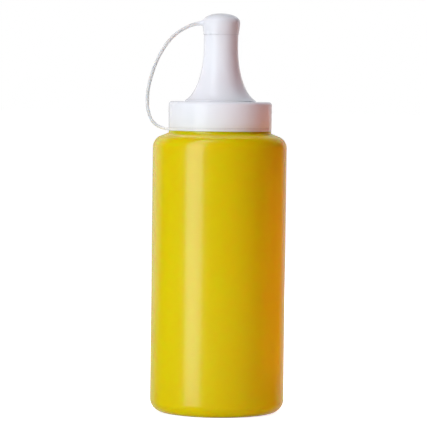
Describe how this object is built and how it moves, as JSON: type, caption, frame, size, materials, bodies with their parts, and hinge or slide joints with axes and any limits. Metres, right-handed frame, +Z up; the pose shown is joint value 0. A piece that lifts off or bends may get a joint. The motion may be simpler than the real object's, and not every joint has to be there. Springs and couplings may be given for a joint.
{
  "type": "mustard squeeze bottle",
  "caption": "Yellow cylindrical squeeze bottle for mustard with a white screw cap drawn up into a nozzle and a tip cap held by a strap that loops down to the cap's foot.",
  "frame": {"origin": "middle of the base, on the surface that the bottle stands on", "axes": "+Z up along the bottle's axis; -Y is the front as pictured; the strap loops out on the -X side"},
  "size_m": [0.0645, 0.061, 0.1814],
  "materials": {
    "yellow_polyethylene": "opaque mustard-yellow polyethylene, blow moulded, smooth with a soft gloss",
    "white_polypropylene": "opaque white polypropylene, injection moulded, smooth with a clear gloss",
    "white_soft_polyethylene": "opaque white soft polyethylene, injection moulded, satin"
  },
  "bodies": {
    "root": {"bottle": "yellow_polyethylene", "nozzle_cap": "white_polypropylene", "tip_cap": "white_soft_polyethylene"}
  },
  "joints": []
}
